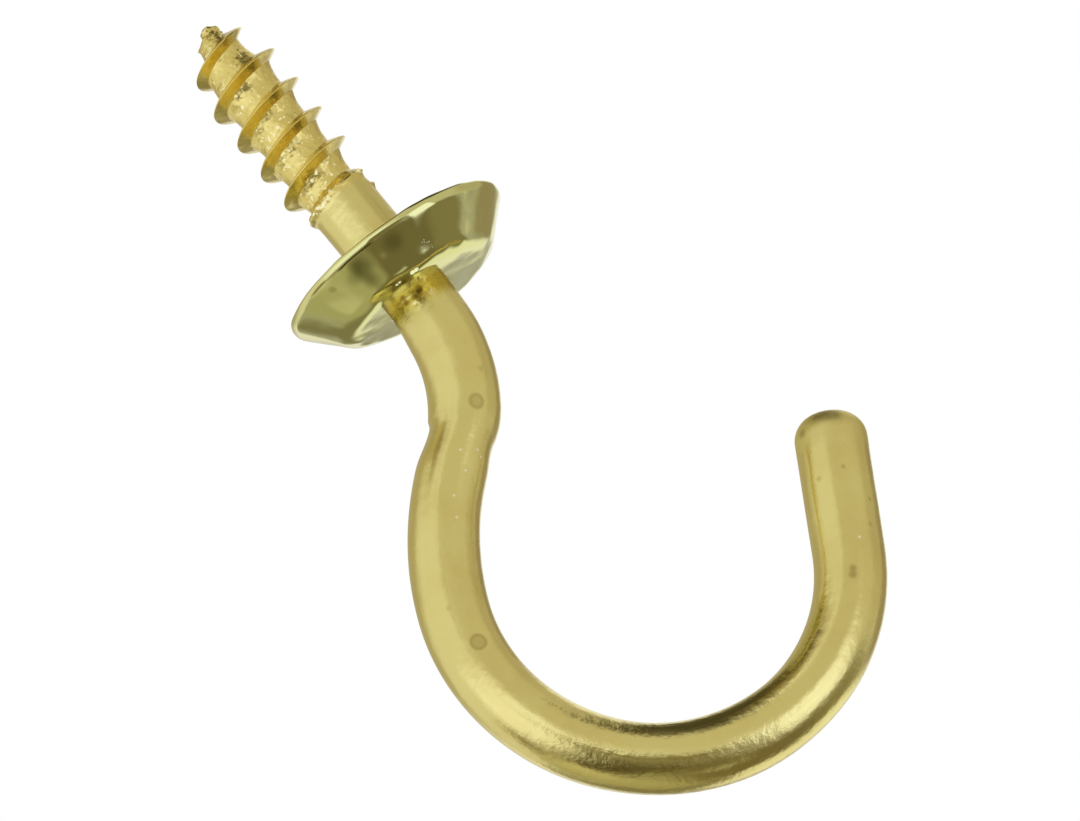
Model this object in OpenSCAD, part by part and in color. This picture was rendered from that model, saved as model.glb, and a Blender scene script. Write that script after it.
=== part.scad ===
// Shouldered cup hook in brass-plated steel, in millimetres.
// One wire makes the wood screw, the plain shank, the neck and the bow. A cup pressed from
// sheet is threaded over the shank and seats on a small shoulder, to cover the screw's hole.
//
// Frame: the origin is where the screw's axis crosses the plane of the cup's rim, which is
// the face that meets the shelf. +Z runs up along the screw, the bow hangs below in the XZ
// plane, and it opens towards +X.

/* [Wire] */
// Diameter of the drawn wire, from the shoulder to the tail
wire_d = 3; // [2.6:0.1:3.4]
// Height of the shoulder that the cup seats on
shoulder = 0.075; // [0.05:0.025:0.2]
// Radius that rounds the edge of the tail's cut end
tail_round = 1.1; // [0.4:0.1:1.2]

/* [Screw] */
// Height of the screw's tip above the cup's rim
screw_len = 12.7; // [10:0.1:16]
// Height of the plain shank above the cup's rim
shank_len = 3.2; // [2:0.1:5]
// Diameter over the thread's crests
thread_d = 3.78; // [3.4:0.1:4.4]
// Diameter of the core between the crests
root_d = 2.48; // [2:0.1:2.8]
// Rise of the thread in one turn
pitch = 1.59; // [1.3:0.05:2]
// Width of the crest
crest_w = 0.07; // [0.03:0.01:0.15]
// Width of the hollow flank that faces the cup
lower_flank_w = 0.36; // [0.2:0.02:0.5]
// Width of the steep flank that faces the tip
upper_flank_w = 0.17; // [0.1:0.01:0.3]
// Direction in which the thread leaves the shank, in degrees from +X
thread_start = -124; // [-180:1:180]
// Length of the tapered point
point_len = 2.4; // [1.5:0.1:4]
// Diameter of the blunt tip
tip_d = 0.8; // [0.4:0.1:1.4]
// Height by which the raised lip stands out at the top of the shank
lip_out = 0.11; // [0.04:0.01:0.2]
// Length over which the shank swells to that lip
lip_len = 0.45; // [0.2:0.05:1]

/* [Cup] */
// Diameter over the cup's rim
cup_d = 10.2; // [9:0.2:13]
// Diameter of the cup's flat face, to the middle of its fold
face_d = 7.4; // [6:0.2:8.6]
// Height of the cup, from its flat face to its rim
cup_h = 1.8; // [1.4:0.05:2.6]
// Thickness of the cup's sheet
sheet_t = 0.4; // [0.3:0.05:0.6]
// Outer radius of the fold round the flat face
fold_r = 0.5; // [0.3:0.05:0.7]
// Height of the upright lip at the rim
rim_h = 0.3; // [0.2:0.05:0.5]
// Outer radius where the cone turns up into the rim
rim_r = 0.35; // [0.2:0.05:0.5]
// Clearance between the cup's hole and the shank
cup_gap = 0.02; // [0.01:0.01:0.05]

/* [Bends] */
// Lean of the shank's foot, and so of the cup on it, in degrees
lean = 3.5; // [1:0.5:6]
// Radius of the bend that makes the lean
lean_r = 12; // [6:1:16]
// Radius of the easy bend just below the cup
neck_r = 18; // [12:0.5:24]
// Angle of the easy bend
neck_turn = 6.5; // [2:0.5:10]
// Radius of the crook that carries the wire back
crook_r = 7.2; // [5:0.1:10]
// Angle of the crook
crook_turn = 30.5; // [20:0.5:36]
// Radius of the sharp nip at the foot of the crook
nip_r = 3; // [2.2:0.1:5]
// Angle of the nip
nip_turn = 12; // [6:0.5:20]
// Length of the straight that leans back after the nip
back_len = 1.6; // [0.8:0.1:3]
// Radius of the lead into the bow
lead_r = 13; // [10:0.5:18]
// Angle of the lead
lead_turn = 28; // [16:1:36]
// Radius of the bow, to the middle of the wire
bow_r = 8.25; // [7:0.25:12]
// Angle of the bow
bow_turn = 174; // [150:1:186]
// Length of the straight tail, to its rounded end
tail_len = 6; // [3:0.1:8]

/* [Hidden] */

WIRE_COLOR = [0.80, 0.72, 0.40];
CUP_COLOR = [0.74, 0.72, 0.42];

$fn = 96;
FILLET_STEPS = 8;       // chords in a quarter of a small round
THREAD_STEPS = 30;      // rings in one turn of the thread
THREAD_SINK = 0.2;      // depth by which the thread's foot goes into the core
RUN_IN = 0.8;           // height over which the thread grows out of the shank
RUN_OUT = 0.5;          // height over which it fades at the tip
HOLLOW = 0.35;          // share of the thread's height at the deepest place of its hollow flank
TIP_ROUND = 0.8;        // share of the tip's radius that is rounded off
RUN_ON = 0.02;          // length by which each stretch of wire runs on into the next
HAIR = 0.002;           // difference in radius between two stretches that meet

wire_r = wire_d / 2;
shank_r = wire_r - shoulder;
thread_r = thread_d / 2;
root_r = root_d / 2;
tip_r = tip_d / 2;
hole_r = shank_r + cup_gap;
point_z = screw_len - point_len;

// Drop from the origin to where the lean starts, which puts the cup's rim through the origin
straight_drop = (cup_h - sheet_t - lean_r * (1 - cos(lean)) * sin(lean)) / cos(lean)
    - lean_r * sin(lean);

// A route is a list of moves in the plane of the hook: [length] runs straight on, and
// [radius, angle] bends towards +X, or towards -X where the angle is negative.
FOOT = [[straight_drop], [lean_r, -lean], [sheet_t]];
BOW = [
    [neck_r, -neck_turn],
    [crook_r, -crook_turn],
    [nip_r, -nip_turn],
    [back_len],
    [lead_r, lead_turn],
    [bow_r, bow_turn]
];

// Rounds the corner at b, on the way from a to c, with radius r
function fillet(a, b, c, r) =
    let (
        u = (a - b) / norm(a - b),
        v = (c - b) / norm(c - b),
        half = acos(u * v) / 2,
        mid = b + (u + v) / norm(u + v) * r / sin(half),
        start = b + u * r / tan(half) - mid,
        way = sign(u.y * v.x - u.x * v.y),
        sweep = 180 - 2 * half,
        steps = max(2, ceil(FILLET_STEPS * sweep / 90))
    )
    [for (i = [0:steps])
        let (t = way * sweep * i / steps)
        mid + [start.x * cos(t) - start.y * sin(t), start.x * sin(t) + start.y * cos(t)]];

// Radius of the bare core, and of the thread's crest, at height z. The ridge starts and ends
// below the core's skin and rises through it.
function core_r(z) = z < point_z
    ? root_r
    : root_r + (tip_r - root_r) * (z - point_z) / (screw_len - tip_r - point_z);
function crest_r(z) =
    let (
        grown = min(1, max(0, (z - shank_len) / RUN_IN)),
        fading = min(1, max(0, (screw_len - tip_r - z) / RUN_OUT)),
        full = thread_r - root_r + THREAD_SINK / 2
    )
    core_r(z) - THREAD_SINK / 2 + full * grown * fading;

// One ring of the thread at height z: foot, hollow flank, crest, steep flank, foot
function thread_ring(z) =
    let (
        turn = thread_start + 360 * (z - shank_len) / pitch,
        foot = core_r(z) - THREAD_SINK,
        crest = crest_r(z),
        hollow = core_r(z) + HOLLOW * (crest - core_r(z)),
        low = z - crest_w / 2,
        high = z + crest_w / 2,
        outline = [
            [foot, low - lower_flank_w],
            [hollow, low - lower_flank_w * HOLLOW],
            [crest, low],
            [crest, high],
            [foot, high + upper_flank_w]
        ]
    )
    [for (p = outline) [p.x * cos(turn), p.x * sin(turn), p.y]];

// Skin of a body made of rings that follow each other, closed with a fan at each end
function ring_faces(rings, n) = concat(
    [[for (j = [n - 1:-1:0]) j]],
    [for (i = [0:rings - 2], j = [0:n - 1]) each [
        [i * n + j, i * n + (j + 1) % n, (i + 1) * n + j],
        [i * n + (j + 1) % n, (i + 1) * n + (j + 1) % n, (i + 1) * n + j]
    ]],
    [[for (j = [0:n - 1]) (rings - 1) * n + j]]
);

// Moves what follows to the end of one move of a route
module after(move) {
    if (len(move) == 1) {
        translate([0, 0, move[0]]) children();
    } else {
        side = sign(move[1]) * move[0];
        translate([side, 0, 0]) rotate([0, move[1], 0]) translate([-side, 0, 0]) children();
    }
}

// Moves what follows to the end of a whole route
module after_all(route, i = 0) {
    if (i < len(route)) {
        after(route[i]) after_all(route, i + 1) children();
    } else {
        children();
    }
}

// Wire of radius r along one move, which starts at the origin and runs along +Z. It runs a
// little way on into the next stretch.
module stretch(move, r) {
    if (len(move) == 1) {
        cylinder(h = move[0] + RUN_ON, r = r);
    } else {
        bend_r = move[0];
        turn = move[1];
        translate([sign(turn) * bend_r, 0, 0])
            rotate([0, 0, turn > 0 ? 180 : 0])
            rotate([90, 0, 0])
            rotate_extrude(angle = abs(turn) + RUN_ON / bend_r * 180 / PI)
            translate([bend_r, 0]) circle(r = r);
    }
}

// Wire of radius r along a whole route. Every second stretch is a hair thicker, so that
// where two stretches run into each other their skins are never in the same place.
module wire(route, r) {
    for (i = [0:len(route) - 1]) {
        after_all([for (j = [0:1:i - 1]) route[j]]) stretch(route[i], r + (i % 2) * HAIR);
    }
}

// Turns the screw's frame over, so that a route starts at the origin and runs down
module downwards() {
    rotate([180, 0, 0]) children();
}

// Core of the screw with its raised lip, its point and its blunt tip
module screw_core() {
    lip_z = shank_len - lip_out;
    lip_r = shank_r + lip_out;
    rotate_extrude() polygon(concat(
        [[0, 0], [shank_r, 0], [shank_r, lip_z - lip_len], [lip_r, lip_z]],
        [[root_r, shank_len + lip_out], [root_r, point_z], [tip_r, screw_len - tip_r]],
        fillet([tip_r, screw_len - tip_r], [tip_r, screw_len], [0, screw_len], tip_r * TIP_ROUND),
        [[0, screw_len]]
    ));
}

// Helical ridge of the wood screw, right-handed
module thread() {
    from = shank_len;
    to = screw_len - tip_r;
    count = ceil(THREAD_STEPS * (to - from) / pitch);
    rings = [for (i = [0:count]) thread_ring(from + (to - from) * i / count)];
    polyhedron(points = [for (ring = rings) each ring], faces = ring_faces(count + 1, 5));
}

// Straight tail with a rounded end, from the origin along +Z
module tail() {
    end = [wire_r, tail_len];
    rotate_extrude() polygon(concat(
        [[0, 0], [wire_r, 0]],
        fillet([wire_r, 0], end, [0, tail_len], tail_round),
        [[0, tail_len]]
    ));
}

module hook() {
    color(WIRE_COLOR) union() {
        screw_core();
        thread();
        downwards() {
            wire(FOOT, shank_r);
            after_all(FOOT) {
                wire(BOW, wire_r);
                after_all(BOW) tail();
            }
        }
    }
}

// Cup pressed from one sheet: flat face, cone and upright rim. Its outer face is at z = 0
// on the shoulder, and its rim is at z = -cup_h.
module cup() {
    face_r = face_d / 2;
    out_r = cup_d / 2;
    cone_h = cup_h - rim_h;
    slope = atan((out_r - face_r) / cone_h);
    inner_fold = [face_r - sheet_t * tan((90 - slope) / 2), -sheet_t];
    inner_rim = [out_r - sheet_t, -cone_h - sheet_t * tan(slope / 2)];
    color(CUP_COLOR) downwards() after_all(FOOT) rotate_extrude() polygon(concat(
        [[hole_r, 0]],
        fillet([hole_r, 0], [face_r, 0], [out_r, -cone_h], fold_r),
        fillet([face_r, 0], [out_r, -cone_h], [out_r, -cup_h], rim_r),
        [[out_r, -cup_h], [out_r - sheet_t, -cup_h]],
        [inner_rim, inner_fold],
        [[hole_r, -sheet_t]]
    ));
}

hook();
cup();
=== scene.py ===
# %% [markdown]
# # A brass cup hook
#
# A cup hook is one piece of drawn wire. Its top is rolled into a wood screw, its foot is bent
# into a bow, and a shallow cup pressed from thin sheet sits on the shank to cover the hole in
# the shelf. Both pieces are plated with brass, which is what makes this small thing a lesson
# in metal: almost everything that shows is a reflection, so the shape has to be smooth, and
# the room around it has to hold something worth reflecting.
#
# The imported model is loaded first. It says where everything is, and nothing here moves it.

import math

import bmesh
import bpy
from mathutils import Matrix, Vector, noise


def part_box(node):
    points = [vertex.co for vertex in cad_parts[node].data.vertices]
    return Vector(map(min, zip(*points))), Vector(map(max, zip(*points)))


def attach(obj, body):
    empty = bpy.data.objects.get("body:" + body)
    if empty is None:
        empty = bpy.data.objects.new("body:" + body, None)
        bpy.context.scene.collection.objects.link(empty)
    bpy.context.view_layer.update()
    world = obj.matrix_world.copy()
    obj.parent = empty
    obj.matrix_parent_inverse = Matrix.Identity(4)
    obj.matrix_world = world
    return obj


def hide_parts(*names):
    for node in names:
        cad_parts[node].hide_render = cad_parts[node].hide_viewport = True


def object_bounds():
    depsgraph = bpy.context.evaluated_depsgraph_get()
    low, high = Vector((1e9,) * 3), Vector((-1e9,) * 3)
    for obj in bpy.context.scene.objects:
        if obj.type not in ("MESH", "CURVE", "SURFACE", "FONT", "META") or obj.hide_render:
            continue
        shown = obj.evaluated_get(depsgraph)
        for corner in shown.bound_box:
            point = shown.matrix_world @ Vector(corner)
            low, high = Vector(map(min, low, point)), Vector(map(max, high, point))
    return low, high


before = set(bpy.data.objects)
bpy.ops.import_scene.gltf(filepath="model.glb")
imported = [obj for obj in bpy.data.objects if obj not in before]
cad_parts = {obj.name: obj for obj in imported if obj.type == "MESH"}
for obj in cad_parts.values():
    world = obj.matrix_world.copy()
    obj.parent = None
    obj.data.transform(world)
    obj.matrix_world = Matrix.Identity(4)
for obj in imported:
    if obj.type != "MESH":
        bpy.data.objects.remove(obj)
cad_low, cad_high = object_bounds()

MM = 0.001
_, hook_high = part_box("hook")
MIDDLE = (Vector(cad_low) + Vector(cad_high)) / 2
TIP_Z = hook_high[2] / MM
print("screw's tip at", round(TIP_Z, 2), "mm, middle of the part", [round(c / MM, 2) for c in MIDDLE])

# %% [markdown]
# ## The camera
#
# A hook this small is shot from far away with a long lens, so that its wire keeps the same
# width from end to end. The camera looks a little upwards, from 18 degrees to the left, and
# is rolled until the screw points to the upper left. It is made from two angles and a roll,
# because those are easier to think about than a matrix. The lens isn't made longer still: a
# camera that frames so small a hook from further off loses it beyond its far clip when it
# moves round to another side.

# %% Set up the camera
AZIMUTH, ELEVATION, ROLL = math.radians(-18), math.radians(-14.5), math.radians(-39.6)
AIM = Vector((1.434, 1.795, -8.314)) * MM
LENS, SENSOR, VIEW_WIDTH = 1200.0, 36.0, 44.135 * MM

back = Vector((
    math.sin(AZIMUTH) * math.cos(ELEVATION),
    -math.cos(AZIMUTH) * math.cos(ELEVATION),
    math.sin(ELEVATION),
))
level = Vector((0, 0, 1)).cross(back).normalized()
steep = back.cross(level)
right = level * math.cos(ROLL) + steep * math.sin(ROLL)
up = steep * math.cos(ROLL) - level * math.sin(ROLL)

camera_data = bpy.data.cameras.new("camera")
camera_data.lens = LENS
camera_data.sensor_width = SENSOR
camera_data.clip_start = 0.01
camera_data.clip_end = 50
camera = bpy.data.objects.new("camera", camera_data)
bpy.context.scene.collection.objects.link(camera)
turn = Matrix((right, up, back)).transposed().to_4x4()
camera.matrix_world = Matrix.Translation(AIM + back * (VIEW_WIDTH * LENS / SENSOR)) @ turn
bpy.context.scene.camera = camera
bpy.context.scene.view_settings.view_transform = "Standard"
print("camera at", [round(c, 3) for c in camera.location], "m")

# %% [markdown]
# ## Helpers for materials
#
# Every finish below is a tree of nodes. Adding a node, setting it and wiring it up takes one
# line with this helper: a plain value goes into the socket, and another node's output is
# linked to it.

# %% Write the node helper
def new_material(name):
    """Makes an empty material and returns it with its node tree."""
    material = bpy.data.materials.new(name)
    material.use_nodes = True
    material.node_tree.nodes.clear()
    return material, material.node_tree


def add_node(tree, kind, sockets=None, **settings):
    """Adds a node, and gives each named socket its value or its link."""
    node = tree.nodes.new(kind)
    for name, value in settings.items():
        setattr(node, name, value)
    for name, value in (sockets or {}).items():
        if isinstance(value, bpy.types.NodeSocket):
            tree.links.new(value, node.inputs[name])
        else:
            node.inputs[name].default_value = value
    return node


def calculate(tree, operation, first, second=0.5, third=None):
    """Adds a Math node and returns its output."""
    sockets = {0: first, 1: second}
    if third is not None:
        sockets[2] = third
    return add_node(tree, "ShaderNodeMath", sockets, operation=operation).outputs[0]


def ease(tree, value, low, high, to_low=0.0, to_high=1.0):
    """Maps low..high to to_low..to_high with a soft start and end."""
    return add_node(
        tree, "ShaderNodeMapRange",
        {"Value": value, "From Min": low, "From Max": high, "To Min": to_low, "To Max": to_high},
        interpolation_type="SMOOTHSTEP",
    ).outputs["Result"]


def add_noise(tree, vector, scale, detail, roughness):
    """Adds a noise texture."""
    return add_node(
        tree, "ShaderNodeTexNoise",
        {"Vector": vector, "Scale": scale, "Detail": detail, "Roughness": roughness},
    )


def near(tree, vector, middle, inner, outer):
    """Soft spot: 1 within the inner distance of a point, 0 beyond the outer."""
    away = add_node(tree, "ShaderNodeVectorMath", {0: vector, 1: middle}, operation="DISTANCE")
    return ease(tree, away.outputs["Value"], inner, outer, 1, 0)


def blend(tree, cover, below, above):
    """Lays one colour over another."""
    return add_node(
        tree, "ShaderNodeMix", {"Factor": cover, "A": below, "B": above}, data_type="RGBA",
    ).outputs["Result"]


print("helpers ready")

# %% [markdown]
# ## The room
#
# Polished brass has almost no colour of its own in a picture: it shows the room, tinted gold.
# So the room is built first. A white world stands for a white light tent. Cards
# stand in it, as in a real product shot: pale ones are soft boxes, grey and black ones are
# flags, and their edges become the bands that run along the wire. The cards are seen only by
# reflections, so they never hide the hook from a camera and cast no shadow.

# %% Make the world
world = bpy.data.worlds.new("white tent")
bpy.context.scene.world = world
world.use_nodes = True
sky = world.node_tree
sky.nodes.clear()
ray = add_node(sky, "ShaderNodeLightPath")
seen = calculate(
    sky, "MAXIMUM",
    calculate(sky, "MAXIMUM", ray.outputs["Is Camera Ray"], ray.outputs["Is Glossy Ray"]),
    ray.outputs["Is Transmission Ray"],
)
tent = add_node(sky, "ShaderNodeBackground", {"Color": (1, 1, 1, 1), "Strength": 1.0})
fill = add_node(sky, "ShaderNodeBackground", {"Color": (1, 1, 1, 1), "Strength": 0.55})
either = add_node(sky, "ShaderNodeMixShader", {0: seen, 1: fill.outputs[0], 2: tent.outputs[0]})
add_node(sky, "ShaderNodeOutputWorld", {"Surface": either.outputs[0]})
print("world: white where it is seen, softer where it lights")


# %% Put up the cards
def towards(azimuth, elevation):
    """Direction from the hook, with azimuth 0 in front, at -Y, and 90 at +X."""
    a, e = math.radians(azimuth), math.radians(elevation)
    return Vector((math.sin(a) * math.cos(e), -math.cos(a) * math.cos(e), math.sin(e)))


def put_card(name, azimuth, elevation, wide, high, distance, tone, roll=0, soft=0.3):
    """Stands a curved card of so many degrees by so many round the hook, with soft edges."""
    bm = bmesh.new()
    bm.loops.layers.uv.new("sheet")
    bmesh.ops.create_grid(bm, x_segments=24, y_segments=24, size=1.0, calc_uvs=True)
    for vert in bm.verts:
        vert.co = towards(vert.co.x * wide / 2, vert.co.y * high / 2) * distance
    swing = (
        Matrix.Rotation(math.radians(azimuth), 4, "Z") @ Matrix.Rotation(math.radians(-elevation), 4, "X")
    )
    spun = swing @ Matrix.Rotation(math.radians(roll), 4, "Y")
    bmesh.ops.transform(bm, matrix=Matrix.Translation(MIDDLE) @ spun, verts=bm.verts)
    mesh = bpy.data.meshes.new(name)
    bm.to_mesh(mesh)
    bm.free()
    card = bpy.data.objects.new(name, mesh)
    bpy.context.scene.collection.objects.link(card)
    material, tree = new_material(name)
    sheet = add_node(tree, "ShaderNodeUVMap", uv_map="sheet")
    axes = add_node(tree, "ShaderNodeSeparateXYZ", {0: sheet.outputs[0]})
    covers = []
    for axis in "XY":
        out = calculate(tree, "ABSOLUTE", calculate(tree, "MULTIPLY_ADD", axes.outputs[axis], 2.0, -1.0))
        covers.append(ease(tree, out, 1 - soft, 1, 1, 0))
    cover = calculate(tree, "MULTIPLY", *covers)
    glow = add_node(tree, "ShaderNodeEmission", {"Color": (*tone, 1), "Strength": 1.0})
    clear = add_node(tree, "ShaderNodeBsdfTransparent")
    mixed = add_node(tree, "ShaderNodeMixShader", {0: cover, 1: clear.outputs[0], 2: glow.outputs[0]})
    add_node(tree, "ShaderNodeOutputMaterial", {"Surface": mixed.outputs[0]})
    material.cycles.emission_sampling = "NONE"
    mesh.materials.append(material)
    card.visible_camera = False
    card.visible_diffuse = False
    card.visible_shadow = False
    card.visible_transmission = False


CARDS = [
    # name, azimuth, elevation, wide, high, distance, tone, roll, soft
    # the tent's walls, furthest out
    ("tent_left", -90, 36, 136, 92, 0.60, (0.82, 0.82, 0.80), 0, 0.10),
    ("tent_front", 44, 6, 140, 84, 0.62, (0.66, 0.63, 0.54), 0, 0.10),
    ("tent_right", 96, 0, 60, 70, 0.59, (0.54, 0.50, 0.40), 0, 0.5),
    ("tent_right_high", 140, 62, 90, 50, 0.58, (0.26, 0.24, 0.18), 0, 0.35),
    ("tent_far_right", 128, -6, 40, 60, 0.57, (0.36, 0.31, 0.22), 0, 0.5),
    ("tent_far_left", -166, 38, 90, 88, 0.57, (0.50, 0.46, 0.34), 0, 0.6),
    ("tent_low_left", -172, -34, 56, 56, 0.57, (0.26, 0.24, 0.16), 0, 0.4),
    ("tent_roof", 0, 88, 50, 50, 0.56, (0.50, 0.44, 0.26), 0, 0.5),
    ("tent_floor", 0, -89, 100, 100, 0.52, (0.20, 0.17, 0.10), 0, 0.25),
    ("tent_floor_left", -108, -44, 88, 56, 0.50, (0.48, 0.47, 0.33), 0, 0.5),
    ("tent_low_pale", -102, -28, 36, 50, 0.49, (0.68, 0.66, 0.52), 0, 0.7),
    ("pale_card_floor", -38, -75, 18, 14, 0.33, (0.58, 0.60, 0.48), 0, 0.7),
    # the soft boxes
    ("soft_box_left", -43, -2, 96, 40, 0.40, (1.12, 1.16, 1.32), 4, 0.4),
    ("soft_box_right", 32, -36, 35, 56, 0.36, (1.20, 1.26, 1.55), -28, 0.35),
    ("white_card_behind", 158, -40, 46, 50, 0.40, (1.0, 1.02, 1.0), 18, 0.3),
    # the flags
    ("flag_above", 88, 55, 86, 42, 0.45, (0.07, 0.06, 0.035), -14, 0.45),
    ("flag_over_front", 28, 64, 60, 30, 0.46, (0.34, 0.27, 0.13), 0, 0.9),
    ("flag_top", 66, 77, 56, 30, 0.47, (0.08, 0.055, 0.02), 0, 0.4),
    ("flag_below", -56, -41, 58, 27, 0.37, (0.09, 0.07, 0.03), 0, 0.4),
    ("flag_wedge", -16, -25, 44, 34, 0.38, (0.22, 0.19, 0.10), 33, 0.4),
    ("flag_left", -96, -14, 30, 22, 0.38, (0.30, 0.26, 0.17), 0, 0.6),
    ("flag_slit", 8, -42, 10, 46, 0.34, (0.36, 0.34, 0.32), 0, 0.5),
    ("flag_low_right", 95, -54, 66, 26, 0.41, (0.27, 0.24, 0.15), 0, 0.5),
]
for card in CARDS:
    put_card(*card)
print(len(CARDS), "cards")


# %% Light it and lay the floor
def hang_lamp(name, azimuth, elevation, distance, size, watts):
    """Hangs a square soft box that faces the hook."""
    lamp = bpy.data.lights.new(name, "AREA")
    lamp.shape = "SQUARE"
    lamp.size = size
    lamp.energy = watts
    held = bpy.data.objects.new(name, lamp)
    bpy.context.scene.collection.objects.link(held)
    aim = towards(azimuth, elevation)
    held.matrix_world = (
        Matrix.Translation(MIDDLE + aim * distance) @ aim.to_track_quat("Z", "Y").to_matrix().to_4x4()
    )
    held.visible_camera = False
    held.visible_glossy = False


hang_lamp("soft_box_left", -60, 45, 0.9, 0.7, 3.0)
hang_lamp("soft_box_top", 70, 60, 0.9, 0.6, 1.6)

# the camera looks up from below the hook, so the floor lies far under both
FLOOR_Z = -2.6
floor_bm = bmesh.new()
bmesh.ops.create_grid(floor_bm, x_segments=1, y_segments=1, size=20.0)
bmesh.ops.translate(floor_bm, vec=(0, 0, FLOOR_Z), verts=floor_bm.verts)
floor_mesh = bpy.data.meshes.new("floor")
floor_bm.to_mesh(floor_mesh)
floor_bm.free()
floor = bpy.data.objects.new("floor", floor_mesh)
bpy.context.scene.collection.objects.link(floor)
paper, tree = new_material("pale paper")
matt = add_node(
    tree, "ShaderNodeBsdfPrincipled", {"Base Color": (0.86, 0.86, 0.85, 1), "Roughness": 0.9},
)
add_node(tree, "ShaderNodeOutputMaterial", {"Surface": matt.outputs[0]})
floor_mesh.materials.append(paper)
print("two lamps and a floor", -FLOOR_Z, "m below")

# %% [markdown]
# ## Rolling the thread
#
# A screw thread is one groove and one ridge that repeat every pitch. So only one pitch of its
# outline is drawn, from root to root, and it is spun round the axis while it climbs: that is
# what the spin operator's offset is for. Each turn's lower end then meets the upper end of
# the turn before, and merging the doubles closes the skin. The real thread is rolled between
# dies: its upper flank is steep, and its lower flank runs straight down to a knee and then
# eases out into the root.

# %% Draw one pitch of the thread
SHANK_R = 1.425
PITCH, ROOT_R, CREST_R = 1.59, 1.21, 1.87
FIRST_Z, START = 3.27, math.radians(-124)
CREST, FLANK, ROOT, BACK = 0.035, 0.25, 0.75, 0.30
KNEE = 0.245
TURN_STEPS = 112


def ridge(height):
    """Share of the thread's height, at so many millimetres above the edge of its crest."""
    if height > 0:
        return max(0.0, 1 - (height / BACK) ** 1.3)
    down = max(0.0, -height - CREST)
    if down < FLANK:
        return 1 - (1 - KNEE) * down / FLANK
    return KNEE * max(0.0, 1 - (down - FLANK) / ROOT) ** 2


heights = [BACK - PITCH + 0.06 * i for i in range(15)]
heights += [-CREST - FLANK * share for share in (1.2, 1.1, 1.0, 0.88, 0.72, 0.48, 0.24, 0.1, 0)]
heights += [0.0] + [BACK * share for share in (0.2, 0.38, 0.54, 0.68, 0.8, 0.9, 0.96, 1)]

bm = bmesh.new()
straight_layer = bm.verts.layers.float_vector.new("straight")
torn_layer = bm.verts.layers.float.new("torn")
outline = [bm.verts.new((ROOT_R + (CREST_R - ROOT_R) * ridge(h), 0, h)) for h in heights]
lines = [bm.edges.new(pair) for pair in zip(outline, outline[1:])]
place = Matrix.Translation((0, 0, FIRST_Z - PITCH)) @ Matrix.Rotation(START, 4, "Z")
bmesh.ops.transform(bm, matrix=place, verts=outline)
bmesh.ops.spin(
    bm, geom=outline + lines, cent=(0, 0, 0), axis=(0, 0, 1), dvec=(0, 0, PITCH / TURN_STEPS),
    angle=2 * math.pi, steps=TURN_STEPS,
)
one_turn = list(bm.verts) + list(bm.edges) + list(bm.faces)
turns = math.ceil((TIP_Z - FIRST_Z) / PITCH + 1.5)
for i in range(1, turns):
    copy = bmesh.ops.duplicate(bm, geom=one_turn)["geom"]
    verts = [g for g in copy if isinstance(g, bmesh.types.BMVert)]
    bmesh.ops.translate(bm, vec=(0, 0, PITCH * i), verts=verts)
bmesh.ops.remove_doubles(bm, verts=bm.verts, dist=0.0005)
screw = list(bm.verts)
print("thread:", turns, "turns,", len(screw), "points, up to", round(max(v.co.z for v in screw), 2))


# %% Taper it, and let it grow out of the shank
POINT_START, POINT_LEN, STUB_R = 10.0, 2.2, 0.5
LIP_START_TURN = math.radians(-198)


def between(value, low, high):
    """Soft step from 0 at low to 1 at high."""
    share = min(1.0, max(0.0, (value - low) / (high - low)))
    return share * share * (3 - 2 * share)


def hump(value, middle, width):
    """Soft hump of height 1."""
    return math.exp(-(((value - middle) / width) ** 2))


def core(z):
    """Radius of the bare core at a height: a cylinder, then a blunt cone."""
    return ROOT_R + (STUB_R - ROOT_R) * min(1.0, max(0.0, (z - POINT_START) / POINT_LEN))


def round_from_lip(x, y):
    """Share of a turn from where the shank's torn edge starts."""
    return (math.atan2(y, x) - LIP_START_TURN) / (2 * math.pi) % 1


def shank_end(turn):
    """The two edges where the shank stops, so far round: each with its height and its share."""
    return (
        (3.33 + 0.84 * turn, 1 - between(turn, 0.45, 0.62)),
        (2.87 + 0.46 * turn, between(turn, 0.42, 0.5)),
    )


for vert in screw:
    x, y, z = vert.co
    out = math.hypot(x, y)
    grown = min(1.0, max(0.0, (z - 3.0) / 1.5)) * min(1.0, max(0.0, (12.2 - z) / 0.45))
    share = (out - ROOT_R) / (CREST_R - ROOT_R) * grown
    new = core(z) + share * (CREST_R - ROOT_R)
    turn = round_from_lip(x, y)
    burr = 0.05 + 0.13 * max(hump(turn, 0, 0.12), hump(turn, 1, 0.12)) + 0.05 * hump(turn, 0.55, 0.1)
    lower_edge = shank_end(turn)[0][0]
    torn = (1 - between(share, 0.2, 0.32)) * between(z, lower_edge - 0.14, lower_edge + 0.03)
    torn = max(torn, 2.6 * hump(z, lower_edge - 0.02, 0.26) * hump(turn, 0.15, 0.11))
    for edge, there in shank_end(turn):
        filled = SHANK_R + 0.005 + burr * hump(z, edge - 0.06, 0.17)
        new = max(new, core(z) + (filled - core(z)) * there * (1 - between(z, edge - 0.06, edge + 0.34)))
    vert[torn_layer] = max(torn, between(z, 12.0, 12.3))
    vert.co.x, vert.co.y = x / out * new, y / out * new

SCREW_FOOT, SCREW_HEAD = 2.76, 12.2


def cut_flat(height, keep_above):
    """Cuts the screw flat at a height and returns the open edge."""
    bmesh.ops.bisect_plane(
        bm, geom=list(bm.verts) + list(bm.edges) + list(bm.faces),
        plane_co=(0, 0, height), plane_no=(0, 0, 1), dist=1e-5,
        clear_inner=keep_above, clear_outer=not keep_above,
    )
    return [
        e for e in bm.edges
        if e.is_boundary and all(abs(v.co.z - height) < 1e-3 for v in e.verts)
    ]


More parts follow.
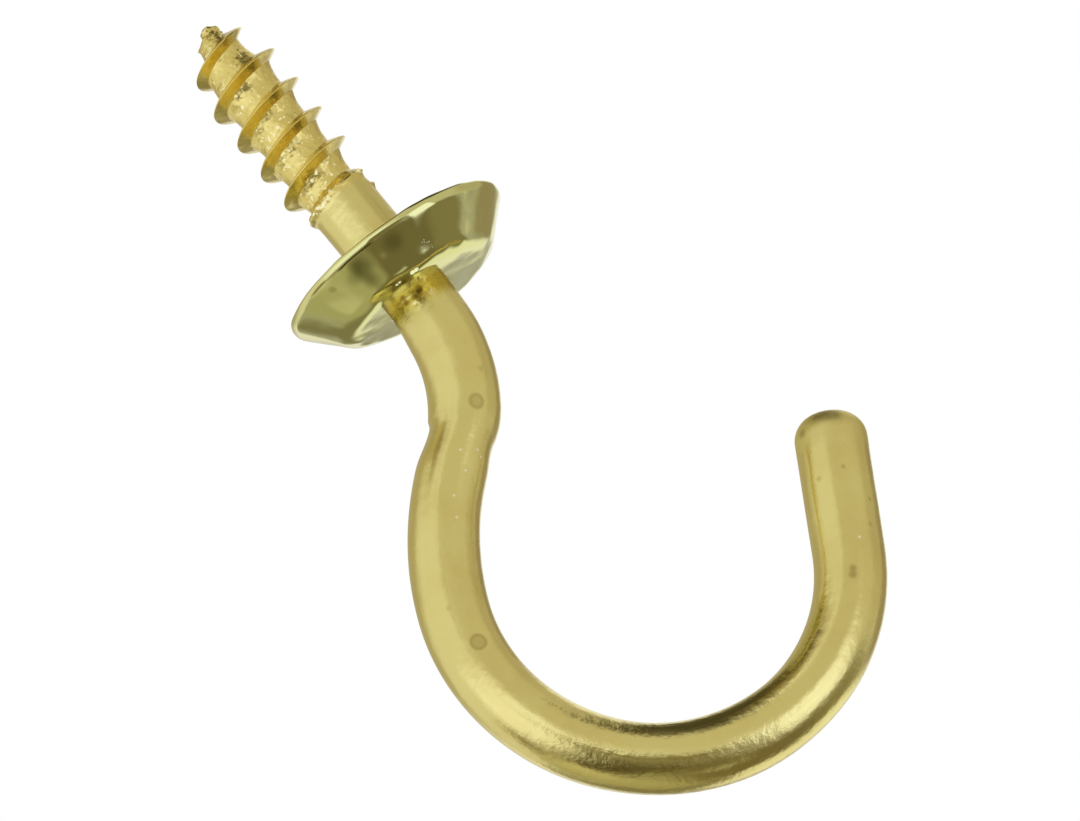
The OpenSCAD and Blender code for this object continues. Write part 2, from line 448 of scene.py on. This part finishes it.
foot_edge = cut_flat(SCREW_FOOT, True)
head_edge = cut_flat(SCREW_HEAD, False)
print("cut edges:", len(foot_edge), "at the shank and", len(head_edge), "at the tip")


# %% [markdown]
# ## Bending the wire
#
# The real hook is bent from one length of 3 mm wire, and a wire bender thinks in moves: run
# straight for so long, or bend by so much round a pin of such a radius. The mesh is made in
# the same way. One ring of points is pulled along, a fraction of a millimetre at a time, and
# each pull leaves a band of faces behind. A sweep along a curve object would look alike, but
# this way every point also remembers where it was in the straight wire, before any bend, and
# the finish can follow the wire for its drawing streaks and its scuffs.

# %% Name the wire's measures
WIRE_R = 1.5
SHEET = 0.4
LEAN = 3.5
FOOT = [(0.6687,), (12.0, -LEAN), (SHEET,)]
COLLAR = (18.0, -0.5)
BOW = [(18.0, -1.0), (18.0, -4.6), (7.2, -30.5), (3.0, -12.0), (1.6,), (13.0, 28.0), (8.25, 174.0)]
TAIL, TAIL_ROUND = 6.0, 1.1
RING = 96
PULL = 0.15


def move_length(move):
    """Length of wire in one move: a straight (length,) or a bend (radius, degrees)."""
    return move[0] if len(move) == 1 else move[0] * math.radians(abs(move[1]))


print("wire from the rim plane to the tail:", round(sum(map(move_length, FOOT + BOW)) + TAIL, 1), "mm")


# %% Write the puller
class Wire:
    """An open length of wire: its mesh, its open end and where that end is."""

    def __init__(self, bm, radius, height):
        self.bm = bm
        self.straight = bm.verts.layers.float_vector["straight"]
        self.end = Matrix.Translation((0, 0, height))
        made = bmesh.ops.create_circle(bm, segments=RING, radius=radius, matrix=self.end)["verts"]
        self.verts = made
        self.ring = list({edge for vert in made for edge in vert.link_edges})
        self.first = list(self.ring)
        for vert in made:
            vert[self.straight] = vert.co

    def pull(self, step, length=0.0, swell=1.0):
        """Pulls a new ring out of the open end by a small transform."""
        made = bmesh.ops.extrude_edge_only(self.bm, edges=self.ring)["geom"]
        self.verts = [g for g in made if isinstance(g, bmesh.types.BMVert)]
        fresh = set(self.verts)
        self.ring = [g for g in made if isinstance(g, bmesh.types.BMEdge) and fresh.issuperset(g.verts)]
        bmesh.ops.transform(self.bm, verts=self.verts, matrix=step)
        for vert in self.verts:
            x, y, z = vert[self.straight]
            vert[self.straight] = Vector((x * swell, y * swell, z - length))
        self.end = step @ self.end

    def run(self, length, pulls=None):
        """Runs straight on."""
        count = pulls or max(1, math.ceil(length / PULL))
        step = Matrix.Translation(self.end.to_3x3() @ Vector((0, 0, -length / count)))
        for _ in range(count):
            self.pull(step, length / count)

    def bend(self, radius, degrees):
        """Bends towards +X, or towards -X where the angle is negative."""
        count = max(4, math.ceil(radius * math.radians(abs(degrees)) / PULL))
        pin = self.end @ Vector((math.copysign(radius, degrees), 0, 0))
        step = (
            Matrix.Translation(pin)
            @ Matrix.Rotation(math.radians(degrees) / count, 4, Vector((0, -1, 0)))
            @ Matrix.Translation(-pin)
        )
        for _ in range(count):
            self.pull(step, radius * math.radians(abs(degrees)) / count)

    def swell(self, ratio, length):
        """Moves on by a short length and changes the radius by a ratio."""
        onward = Matrix.Translation((0, 0, -length))
        grow = Matrix.Diagonal((ratio, ratio, 1, 1))
        back_again = self.end.inverted()
        step = self.end @ onward @ grow @ back_again
        place = self.end @ onward
        self.pull(step, length, ratio)
        self.end = place

    def follow(self, moves):
        for move in moves:
            self.run(*move) if len(move) == 1 else self.bend(*move)


print("puller ready")

# %% [markdown]
# The wire starts at the top of the plain shank, just under the thread. It leans a little at
# its foot, where the cup sits, steps out by a hair at the shoulder that the cup rests
# against, and then follows the bow. The tail's cut end is tumbled round, so its last rings
# shrink along a quarter circle to a small flat.

# %% Pull the wire
LIP_START = 2.5
wire = Wire(bm, SHANK_R, LIP_START)
wire.run(LIP_START)
wire.follow(FOOT)
seat = wire.end.copy()
ratio = WIRE_R / SHANK_R
wire.bend(*COLLAR)
for _ in range(4):
    wire.swell(ratio ** 0.25, 0.03)
wire.follow(BOW)
wire.run(TAIL - TAIL_ROUND)
ROUND_STEPS = 12
radius, gone = WIRE_R, 0.0
for i in range(1, ROUND_STEPS + 1):
    angle = math.pi / 2 * i / ROUND_STEPS
    next_radius = WIRE_R - TAIL_ROUND * (1 - math.cos(angle))
    next_gone = TAIL_ROUND * math.sin(angle)
    wire.swell(next_radius / radius, next_gone - gone)
    radius, gone = next_radius, next_gone
for next_radius in (0.26, 0.13, 0.03):
    wire.swell(next_radius / radius, 0.0)
    radius = next_radius
tail_tip = wire.end.translation.copy()
bmesh.ops.pointmerge(bm, verts=wire.verts, merge_co=tail_tip)
print("tail ends at", [round(c, 3) for c in tail_tip], "with", len(bm.faces), "faces")

# %% Join it to the shank and close the tip
def draw_up(edges, height, ratio):
    """Pulls an open edge up to a height, and changes its radius by a ratio."""
    made = bmesh.ops.extrude_edge_only(bm, edges=edges)["geom"]
    verts = [g for g in made if isinstance(g, bmesh.types.BMVert)]
    fresh = set(verts)
    now = sum(v.co.z for v in verts) / len(verts)
    bmesh.ops.scale(bm, vec=(ratio, ratio, 1), verts=verts)
    bmesh.ops.translate(bm, vec=(0, 0, height - now), verts=verts)
    return [g for g in made if isinstance(g, bmesh.types.BMEdge) and fresh.issuperset(g.verts)], verts


lip_edge, radius = wire.first, SHANK_R
for height, next_radius in ((2.6, SHANK_R), (2.69, SHANK_R + 0.003)):
    lip_edge, _ = draw_up(lip_edge, height, next_radius / radius)
    radius = next_radius
bmesh.ops.bridge_loops(bm, edges=lip_edge + foot_edge)

tip_edge, radius = head_edge, core(SCREW_HEAD)
for height, next_radius in (
    (12.25, 0.42), (12.31, 0.38), (12.37, 0.37), (12.43, 0.37), (12.49, 0.36), (12.54, 0.33),
    (12.58, 0.29), (12.61, 0.24), (12.63, 0.17), (12.64, 0.09),
):
    tip_edge, tip_verts = draw_up(tip_edge, height, next_radius / radius)
    radius = next_radius
bmesh.ops.pointmerge(bm, verts=tip_verts, merge_co=(0, 0, 12.645))
for vert in bm.verts:
    if vert.co.z > LIP_START:
        vert[wire.straight] = vert.co
    if vert.co.z > SCREW_HEAD - 0.001:
        vert[torn_layer] = 1.0
bmesh.ops.recalc_face_normals(bm, faces=bm.faces)
open_edges = [e for e in bm.edges if not e.is_manifold]
print("hook:", len(bm.faces), "faces,", len(open_edges), "open edges")

# %% [markdown]
# ## Marks of the making
#
# A plain sweep looks too perfect. The real wire was nipped by the bending tool, which left it
# flatter at the crook; it is a little slimmer where it leaves the cup, with a scar round it;
# the rolling dies tore the end of the shank and roughened the roots; and the tip is a broken
# stub. These are small vertex moves, mostly along the normals, from soft steps and from
# noise, which always comes out the same.


# %% Nip, flatten and roughen
def rough(point, scale):
    """Noise between -1 and 1, at so many bumps to the millimetre."""
    return noise.noise(Vector(point) * scale)


bm.normal_update()
moves = []
for vert in bm.verts:
    x, y, z = vert[wire.straight]
    along, out = -z, math.hypot(x, y)
    flat_share = (x / out) ** 2 if out > 0.01 else 0.0
    move = 0.0
    if along > 2.2:
        narrow = 0.24 * hump(along, 8.8, 0.85)
        if x < 0:
            narrow = 0.27 * between(along, 8.0, 8.6) * (1 - between(along, 8.8, 10.4))
        narrow += 0.07 * between(along, 7.4, 8.6) * (1 - between(along, 10.5, 15.8))
        narrow += 0.07 * hump(along, 27.0, 2.4) + 0.05 * hump(along, 34.0, 1.8)
        move -= narrow / 2 * flat_share
        move += 0.004 * rough((x, y, along * 0.5), 0.8)
    if 1.9 < along < 3.0:
        scar = hump(along, 2.12, 0.17)
        vert[torn_layer] = 0.4 * scar
        move += scar * (0.025 * rough((x, y, z), 1.8) + 0.006 * rough((x, y, z), 5.0) - 0.01)
    step = Vector(vert.normal) * move
    if 1.96 < along < 4.0:
        waist = 0.075 * min(1.0, (along - 1.96) / 0.12) * (1 - between(along, 2.1, 4.0))
        step -= Vector((x, y, -0.08 * x)) * (waist / out)
    if z > SCREW_FOOT:
        turn = round_from_lip(x, y)
        lip = max(hump(z, edge, 0.15) * there for edge, there in shank_end(turn))
        step += Vector(vert.normal) * lip * (0.05 * rough(vert.co, 3.0) + 0.03 * rough(vert.co, 7.0))
        step.z += lip * 0.06 * rough(vert.co, 2.2)
        torn = vert[torn_layer]
        step += Vector(vert.normal) * torn * (0.014 * rough(vert.co, 3.0) + 0.008 * rough(vert.co, 8.0))
        stub = between(z, 11.9, 12.4)
        spur = hump(z, 12.02, 0.07) * hump(turn, 0.0, 0.07)
        step += Vector((-0.95, 0.31, 0)) * 0.14 * spur
        step += Vector(vert.normal) * stub * (0.06 * rough(vert.co, 3.2) + 0.03 * rough(vert.co, 8.0))
        step.z -= 0.5 * stub * max(0.0, x)
        step.x += 0.18 * stub + between(z, 3.1, 4.2) * (0.0175 * (z - 4.5) - 0.075)
    moves.append(step)
for vert, step in zip(bm.verts, moves):
    vert.co += step
# the shoulder's small steps are smoothed into one
shoulder = [vert for vert in bm.verts if 1.9 < -vert[wire.straight].z < 2.25]
for _ in range(3):
    bmesh.ops.smooth_vert(bm, verts=shoulder, factor=0.5, use_axis_x=True, use_axis_y=True, use_axis_z=True)
print("furthest move", round(max(step.length for step in moves), 3), "mm")


# %% Finish the hook's mesh
def finish_mesh(bm, name, sharp_degrees):
    """Scales millimetres to metres, smooths the faces and makes the object."""
    bmesh.ops.scale(bm, vec=(MM, MM, MM), verts=bm.verts)
    bm.normal_update()
    for face in bm.faces:
        face.smooth = True
    limit = math.radians(sharp_degrees)
    for edge in bm.edges:
        edge.smooth = not (edge.is_manifold and edge.calc_face_angle(0.0) > limit)
    mesh = bpy.data.meshes.new(name)
    bm.to_mesh(mesh)
    bm.free()
    piece = bpy.data.objects.new(name, mesh)
    bpy.context.scene.collection.objects.link(piece)
    return piece


hook = finish_mesh(bm, "wire_hook", 40)
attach(hook, "root")
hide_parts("hook")
print("wire_hook:", len(hook.data.polygons), "faces")

# %% [markdown]
# ## Pressing the cup
#
# The cup is one disc of sheet pressed to a shallow dish, with a nearly flat face, a cone and
# a short upright rim. All of it is round, so its section is drawn once as a flat outline, its
# corners are rounded by a vertex bevel, and a full spin makes the cup. The edge of its hole
# sinks a hair into the wire, so that no gap shows. Thin sheet never presses quite true, so
# the face is domed a little, small dents follow, and the dish sits slightly off its hole.
# It stands on the seat that the wire reached at its foot, and so it leans with it.

# %% Draw the cup's section
HOLE_R, FACE_R, CUP_R, CUP_H, RIM_H = 1.39, 3.48, 5.1, 1.8, 0.3
FACE_Z = -0.24
CONE_H = CUP_H - RIM_H
slope = math.atan2(CUP_R - FACE_R, CONE_H - FACE_Z)
inner_fold_r = FACE_R - SHEET * math.tan((math.pi / 2 - slope) / 2)
inner_rim_h = CONE_H + SHEET * math.tan(slope / 2)
CORNERS = [
    # radius, height, size of the round at the corner
    (HOLE_R, FACE_Z, 0.06),
    (FACE_R, FACE_Z, 0.5),
    (CUP_R, CONE_H, 0.16),
    (CUP_R, CUP_H, 0.13),
    (CUP_R - SHEET, CUP_H, 0.13),
    (CUP_R - SHEET, inner_rim_h, 0.05),
    (inner_fold_r, SHEET + FACE_Z, 0.05),
    (HOLE_R, SHEET + FACE_Z, 0.06),
]
bm = bmesh.new()
section = bm.faces.new([bm.verts.new((r, 0, h)) for r, h, _ in CORNERS])
for vert, (_, _, size) in zip(list(section.verts), CORNERS):
    bmesh.ops.bevel(
        bm, geom=[vert], offset=size, offset_type="OFFSET", segments=7, profile=0.5,
        affect="VERTICES", material=-1, clamp_overlap=True,
    )
bmesh.ops.delete(bm, geom=list(bm.faces), context="FACES_ONLY")
for edge in [e for e in bm.edges if e.calc_length() > 0.5]:
    bmesh.ops.subdivide_edges(bm, edges=[edge], cuts=int(edge.calc_length() / 0.12))
CUP_STEPS = 192
bmesh.ops.spin(
    bm, geom=list(bm.verts) + list(bm.edges), cent=(0, 0, 0), axis=(0, 0, 1),
    angle=2 * math.pi, steps=CUP_STEPS, use_merge=True,
)
bmesh.ops.remove_doubles(bm, verts=bm.verts, dist=0.0005)
bmesh.ops.recalc_face_normals(bm, faces=bm.faces)
print("cup:", len(bm.faces), "faces,", len([e for e in bm.edges if not e.is_manifold]), "open edges")

# %% Dent it a little and seat it
DENTS = [
    # angle, radius, depth, reach
    (-122, 4.65, -0.030, 0.45), (-112, 4.62, 0.026, 0.36), (-99, 4.78, -0.026, 0.45),
    (-159, 4.10, 0.022, 0.45),
]
bm.normal_update()
for vert in bm.verts:
    x, y, z = vert.co
    out = math.hypot(x, y)
    point = Vector((x, y, z * 0.5))
    dent = (0.045 * rough(point, 0.6) + 0.022 * rough(point, 1.3)) * between(out, 1.5, 2.9)
    vert.co += Vector(vert.normal) * dent
    for angle, r, depth, reach in DENTS:
        a = math.radians(angle)
        away = math.hypot(x - r * math.cos(a), y - r * math.sin(a))
        vert.co += Vector(vert.normal) * depth * hump(away, 0.0, reach)
    vert.co.x += 0.12 * between(out, 1.8, 3.4)
    vert.co.z += 0.07 * max(0.0, min(out, 3.5) / 2 - 0.72) ** 2
bmesh.ops.transform(bm, matrix=seat, verts=bm.verts)
cup = finish_mesh(bm, "pressed_cup", 50)
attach(cup, "root")
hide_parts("cup")
print("pressed_cup:", len(cup.data.polygons), "faces")

# %% [markdown]
# ## Brass for the wire
#
# The finish is thin brass plating on drawn wire. It is all metal, so the colour sits in the
# reflections, and what makes it real is how the gloss changes: faint streaks along the wire
# from drawing, a slow wobble from tumbling, and small pale specks, which are painted
# highlights. Stains are soft spots laid over the colour at points of the straight wire. The
# neck is laid deeper gold, a painted reflection of the cup's face, and dark brown patches lie
# where the cup's hole meets the wire. Torn metal is crumpled, and its freshly broken grains
# sparkle: their normals are turned to two fixed directions that catch a soft box, and their
# colour is painted paler as a highlight, with more of them where they face the left soft box.

# %% Plate the wire
BRASS = (0.81, 0.71, 0.27, 1)
DEEP_BRASS = (0.76, 0.64, 0.23, 1)
THREAD_BRASS = (0.84, 0.69, 0.225, 1)
# deeper gold for the neck: a painted reflection of the cup's face
NECK_REFLECTION_GOLD = (0.68, 0.49, 0.06, 1)
# dark brown laid along the line where the cup's hole meets the wire
CONTACT_BROWN = (0.22, 0.13, 0.02, 1)
CATCH_LEFT, CATCH_RIGHT = towards(-34, -6), towards(5, -27)

plating, tree = new_material("brass plated wire")
straight = add_node(tree, "ShaderNodeAttribute", attribute_name="straight").outputs["Vector"]
drawn = add_node(
    tree, "ShaderNodeMapping", {"Vector": straight, "Scale": (4.0, 4.0, 0.22)},
).outputs[0]
streaks = add_noise(tree, drawn, 1.6, 5.0, 0.6)
clouds = add_noise(tree, straight, 0.35, 4.0, 0.6)
grain = add_noise(tree, straight, 9.0, 4.0, 0.65)
tone = ease(tree, clouds.outputs["Fac"], 0.35, 0.7)
colour = blend(tree, tone, BRASS, DEEP_BRASS)
gloss = ease(tree, streaks.outputs["Fac"], 0.3, 0.75, 0.17, 0.28)
wobble = add_node(
    tree, "ShaderNodeBump",
    {"Height": clouds.outputs["Fac"], "Strength": 0.25, "Distance": 0.0003},
)
fine = add_node(
    tree, "ShaderNodeBump",
    {"Height": grain.outputs["Fac"], "Strength": 0.06, "Distance": 0.00005, "Normal": wobble.outputs[0]},
)
height = add_node(tree, "ShaderNodeSeparateXYZ", {0: straight}).outputs["Z"]
rolled = ease(tree, height, 3.0, 3.6)
colour = blend(tree, rolled, colour, THREAD_BRASS)

# painted reflection: the neck is laid deeper gold where the cup's face is mirrored in the wire
neck_reflection = calculate(
    tree, "MULTIPLY", ease(tree, height, -2.75, -2.2), ease(tree, height, -1.3, -1.0, 0.75, 0),
)
colour = blend(tree, neck_reflection, colour, NECK_REFLECTION_GOLD)
# the pale colour paints highlights on sparkling grains and specks; the brown is for stains
STAIN, PAINTED_SPARKLE = (0.40, 0.30, 0.09, 1), (1.0, 0.95, 0.66, 1)
RINGS = [((0.36, -1.46, -7.47), 0.30, 0.55), ((0.12, -1.50, -18.41), 0.34, 0.6)]
SPOTS = [((0.04, -1.50, -39.66), 0.04, 0.28, 0.65), ((0.04, -1.50, -39.94), 0.04, 0.24, 0.65),
         ((0.93, -1.18, -44.12), 0.03, 0.18, 0.4), ((-1.04, -1.08, -43.04), 0.03, 0.14, 0.5),
         ((-0.88, -1.22, -41.90), 0.03, 0.12, 0.4), ((1.28, -0.79, -46.30), 0.05, 0.3, 0.6),
         ((0.75, -1.25, -46.95), 0.05, 0.35, 0.5), ((0.68, -1.34, -6.11), 0.02, 0.2, 0.3),
         ((-0.45, -1.43, -16.63), 0.02, 0.16, 0.3), ((-0.10, -1.50, -44.42), 0.04, 0.16, 0.4)]
CONTACT_PATCHES = [((-0.23, -1.47, -2.05), 0.10, 0.24, 0.75), ((-0.96, -1.15, -2.17), 0.06, 0.2, 0.75),
           ((0.22, -1.48, -1.80), 0.02, 0.2, 0.6)]
GLINTS = [(0.19, -1.49, -2.41), (-0.79, -1.27, -1.98), (-0.72, -1.32, -2.53)]
HIGHLIGHT_SPECKS = [(0.13, -1.49, -9.68), (0.53, -1.40, -10.48), (0.82, -1.26, -9.38), (1.03, -1.09, -9.58),
        (0.22, -1.48, -11.74), (0.40, -1.45, -12.69), (-0.32, -1.47, -41.30)]
SMEARS = [((-0.80, -1.27, -0.99), 0.04, 0.2, 0.6), ((0.56, -1.31, 0.17), 0.1, 0.34, 0.35)]
for middle, radius, strength in RINGS:
    outer = near(tree, straight, middle, radius - 0.04, radius + 0.11)
    inner = near(tree, straight, middle, radius - 0.18, radius - 0.02)
    cover = calculate(tree, "MULTIPLY", calculate(tree, "MULTIPLY_ADD", inner, -0.4, outer), strength)
    colour = blend(tree, cover, colour, STAIN)
for middle, inner, outer, strength in SPOTS:
    cover = calculate(tree, "MULTIPLY", near(tree, straight, middle, inner, outer), strength)
    colour = blend(tree, cover, colour, STAIN)
# dark brown patches at listed points along the line where the cup's hole meets the wire
for middle, inner, outer, strength in CONTACT_PATCHES:
    cover = calculate(tree, "MULTIPLY", near(tree, straight, middle, inner, outer), strength)
    colour = blend(tree, cover, colour, CONTACT_BROWN)
# pale specks at listed points: painted highlights
for middle in HIGHLIGHT_SPECKS:
    colour = blend(tree, near(tree, straight, middle, 0.02, 0.09), colour, PAINTED_SPARKLE)
long_way = add_node(tree, "ShaderNodeMapping", {"Vector": straight, "Scale": (1, 1, 0.1)}).outputs[0]
for middle, inner, outer, strength in SMEARS:
    cover = calculate(tree, "MULTIPLY", near(tree, long_way, middle, inner, outer), strength)
    colour = blend(tree, cover, colour, STAIN)

scuffs = add_noise(tree, straight, 3.2, 3.0, 0.65)
scuffed = calculate(
    tree, "MULTIPLY", ease(tree, height, -38.0, -30.0), ease(tree, height, -24.0, -19.0, 1, 0),
)
scuffing = add_node(
    tree, "ShaderNodeBump",
    {"Height": scuffs.outputs["Fac"], "Strength": scuffed, "Distance": 0.00002, "Normal": fine.outputs[0]},
)
torn = add_node(tree, "ShaderNodeAttribute", attribute_name="torn").outputs["Fac"]
crumbs = add_noise(tree, straight, 2.2, 2.0, 0.5)
worn = calculate(tree, "MINIMUM", torn, 1.0)
crumpled = add_node(
    tree, "ShaderNodeBump",
    {"Height": crumbs.outputs["Fac"], "Strength": worn, "Distance": 0.00008, "Normal": scuffing.outputs[0]},
)
facets = add_node(tree, "ShaderNodeTexVoronoi", {"Vector": straight, "Scale": 7.0})
tilt = add_node(
    tree, "ShaderNodeVectorMath", {0: facets.outputs["Color"], 1: (0.5, 0.5, 0.5)}, operation="SUBTRACT",
)
amount = calculate(tree, "MULTIPLY", worn, 0.16)
tilted = add_node(tree, "ShaderNodeVectorMath", {0: tilt.outputs[0], "Scale": amount}, operation="SCALE")
specks = add_noise(tree, straight, 5.0, 1.0, 0.5)
lot = calculate(tree, "MULTIPLY_ADD", torn, 0.07, specks.outputs["Fac"])
facing = add_node(tree, "ShaderNodeNewGeometry").outputs["Normal"]
# grains that face the left soft box sparkle more, so more painted highlight falls on that side
leftward = add_node(
    tree, "ShaderNodeVectorMath", {0: facing, 1: towards(-50, 0)}, operation="DOT_PRODUCT",
)
lot = calculate(tree, "MULTIPLY_ADD", ease(tree, leftward.outputs["Value"], 0.75, 0.98), 0.05, lot)
flash = calculate(tree, "MULTIPLY", ease(tree, lot, 0.72, 0.78), worn)
for middle in GLINTS:
    grains = ease(tree, specks.outputs["Fac"], 0.42, 0.56)
    grains = calculate(tree, "MULTIPLY", near(tree, straight, middle, 0.0, 0.26), grains)
    flash = calculate(tree, "MAXIMUM", flash, grains)
facing = add_node(tree, "ShaderNodeVectorMath", {0: facing, 1: towards(72, 0)}, operation="DOT_PRODUCT")
side = ease(tree, facing.outputs["Value"], 0.35, 0.6)
box = add_node(
    tree, "ShaderNodeMix", {"Factor": side, "A": CATCH_LEFT, "B": CATCH_RIGHT}, data_type="VECTOR",
)
glance = calculate(tree, "MULTIPLY", flash, 1.4)
towards_box = add_node(
    tree, "ShaderNodeVectorMath", {0: box.outputs["Result"], "Scale": glance}, operation="SCALE",
)
# the sparkling grains are painted paler: a painted highlight
colour = blend(tree, calculate(tree, "MULTIPLY", flash, 0.45), colour, PAINTED_SPARKLE)
sparkling = add_node(
    tree, "ShaderNodeVectorMath", {0: crumpled.outputs[0], 1: tilted.outputs[0]}, operation="ADD",
)
sparkling = add_node(
    tree, "ShaderNodeVectorMath", {0: sparkling.outputs[0], 1: towards_box.outputs[0]}, operation="ADD",
)
sparkling = add_node(tree, "ShaderNodeVectorMath", {0: sparkling.outputs[0]}, operation="NORMALIZE")
dull = calculate(tree, "MULTIPLY_ADD", worn, 0.1, gloss)
dull = calculate(tree, "MULTIPLY_ADD", ease(tree, height, -46.0, -45.3, 1, 0), 0.25, dull)
metal = add_node(
    tree, "ShaderNodeBsdfPrincipled",
    {"Base Color": colour, "Metallic": 1.0, "Roughness": dull, "Normal": sparkling.outputs[0]},
)
add_node(tree, "ShaderNodeOutputMaterial", {"Surface": metal.outputs[0]})
hook.data.materials.append(plating)
print("plating:", len(tree.nodes), "nodes")

# %% [markdown]
# ## Brass for the cup
#
# The sheet is smoother and greener than the wire, with dark olive patches low on the cone, a
# ring left by a drop, a few pale specks painted as tiny highlights, and two bright glints on
# its fold. The glints are shading normals that are turned to a fixed direction, like the
# wire's broken grains, and so are the specks' normals.

# %% Plate the cup
CUP_BRASS = (0.75, 0.73, 0.33, 1)
CUP_DEEP_BRASS = (0.69, 0.66, 0.25, 1)
# dark olive for patches laid low on the cone
DARK_CONE_OLIVE = (0.30, 0.29, 0.10, 1)
cup_plating, tree = new_material("brass plated sheet")
place = add_node(tree, "ShaderNodeTexCoord").outputs["Object"]
clouds = add_noise(tree, place, 260.0, 3.0, 0.5)
grain = add_noise(tree, place, 5000.0, 3.0, 0.6)
colour = blend(tree, clouds.outputs["Fac"], CUP_BRASS, CUP_DEEP_BRASS)


def on_cup(angle, radius, height=FACE_Z):
    """Point of the seated cup, from its own angle, radius and height."""
    a = math.radians(angle)
    return (seat @ Vector((radius * math.cos(a), radius * math.sin(a), height))) * MM


# dark olive patches laid at listed points low on the cone
for angle, r, inner, outer, strength in (
    (-123, 4.60, 0.2, 0.8, 0.75), (-123, 4.1, 0.1, 0.6, 0.7),
    (-101, 4.7, 0.1, 0.7, 0.6), (-130, 4.5, 0.1, 0.5, 0.4),
):
    middle = on_cup(angle, r, FACE_Z + (r - FACE_R) * 1.074)
    cover = calculate(tree, "MULTIPLY", near(tree, place, middle, inner * MM, outer * MM), strength)
    colour = blend(tree, cover, colour, DARK_CONE_OLIVE)
ring = near(tree, place, on_cup(-142, 4.74, 1.11), 0.16 * MM, 0.27 * MM)
colour = blend(tree, calculate(tree, "MULTIPLY", ring, 0.5), colour, STAIN)
# pale specks painted in as tiny highlights; their normals are also turned towards a soft box
bright_speck_cells = add_node(tree, "ShaderNodeTexVoronoi", {"Vector": place, "Scale": 7000.0})
bright_specks = calculate(
    tree, "MULTIPLY", ease(tree, bright_speck_cells.outputs["Distance"], 0.05, 0.25, 1, 0),
    near(tree, place, on_cup(-83, 4.15, 0.48), 0.2 * MM, 0.75 * MM),
)
colour = blend(tree, bright_specks, colour, PAINTED_SPARKLE)
gloss = ease(tree, clouds.outputs["Fac"], 0.3, 0.75, 0.07, 0.13)
wobble = add_node(
    tree, "ShaderNodeBump", {"Height": clouds.outputs["Fac"], "Strength": 0.2, "Distance": 0.0003},
)
fine = add_node(
    tree, "ShaderNodeBump",
    {"Height": grain.outputs["Fac"], "Strength": 0.04, "Distance": 0.00003, "Normal": wobble.outputs[0]},
)
glints = calculate(
    tree, "MAXIMUM", near(tree, place, on_cup(-97.5, 3.5), 0.14 * MM, 0.24 * MM),
    near(tree, place, on_cup(-100.5, 3.5), 0.14 * MM, 0.24 * MM),
)
for angle, r in (-112, 3.42), (-114.5, 3.4):
    glints = calculate(tree, "MAXIMUM", glints, near(tree, place, on_cup(angle, r), 0.12 * MM, 0.21 * MM))
glints = calculate(tree, "MAXIMUM", glints, calculate(tree, "MULTIPLY", bright_specks, 0.07))
glint = add_node(
    tree, "ShaderNodeVectorMath", {0: CATCH_RIGHT, "Scale": calculate(tree, "MULTIPLY", glints, 5.0)},
    operation="SCALE",
)
bright = add_node(tree, "ShaderNodeVectorMath", {0: fine.outputs[0], 1: glint.outputs[0]}, operation="ADD")
bright = add_node(tree, "ShaderNodeVectorMath", {0: bright.outputs[0]}, operation="NORMALIZE")
metal = add_node(
    tree, "ShaderNodeBsdfPrincipled",
    {"Base Color": colour, "Metallic": 1.0, "Roughness": gloss, "Normal": bright.outputs[0]},
)
add_node(tree, "ShaderNodeOutputMaterial", {"Surface": metal.outputs[0]})
cup.data.materials.append(cup_plating)
print("cup plating:", len(tree.nodes), "nodes")
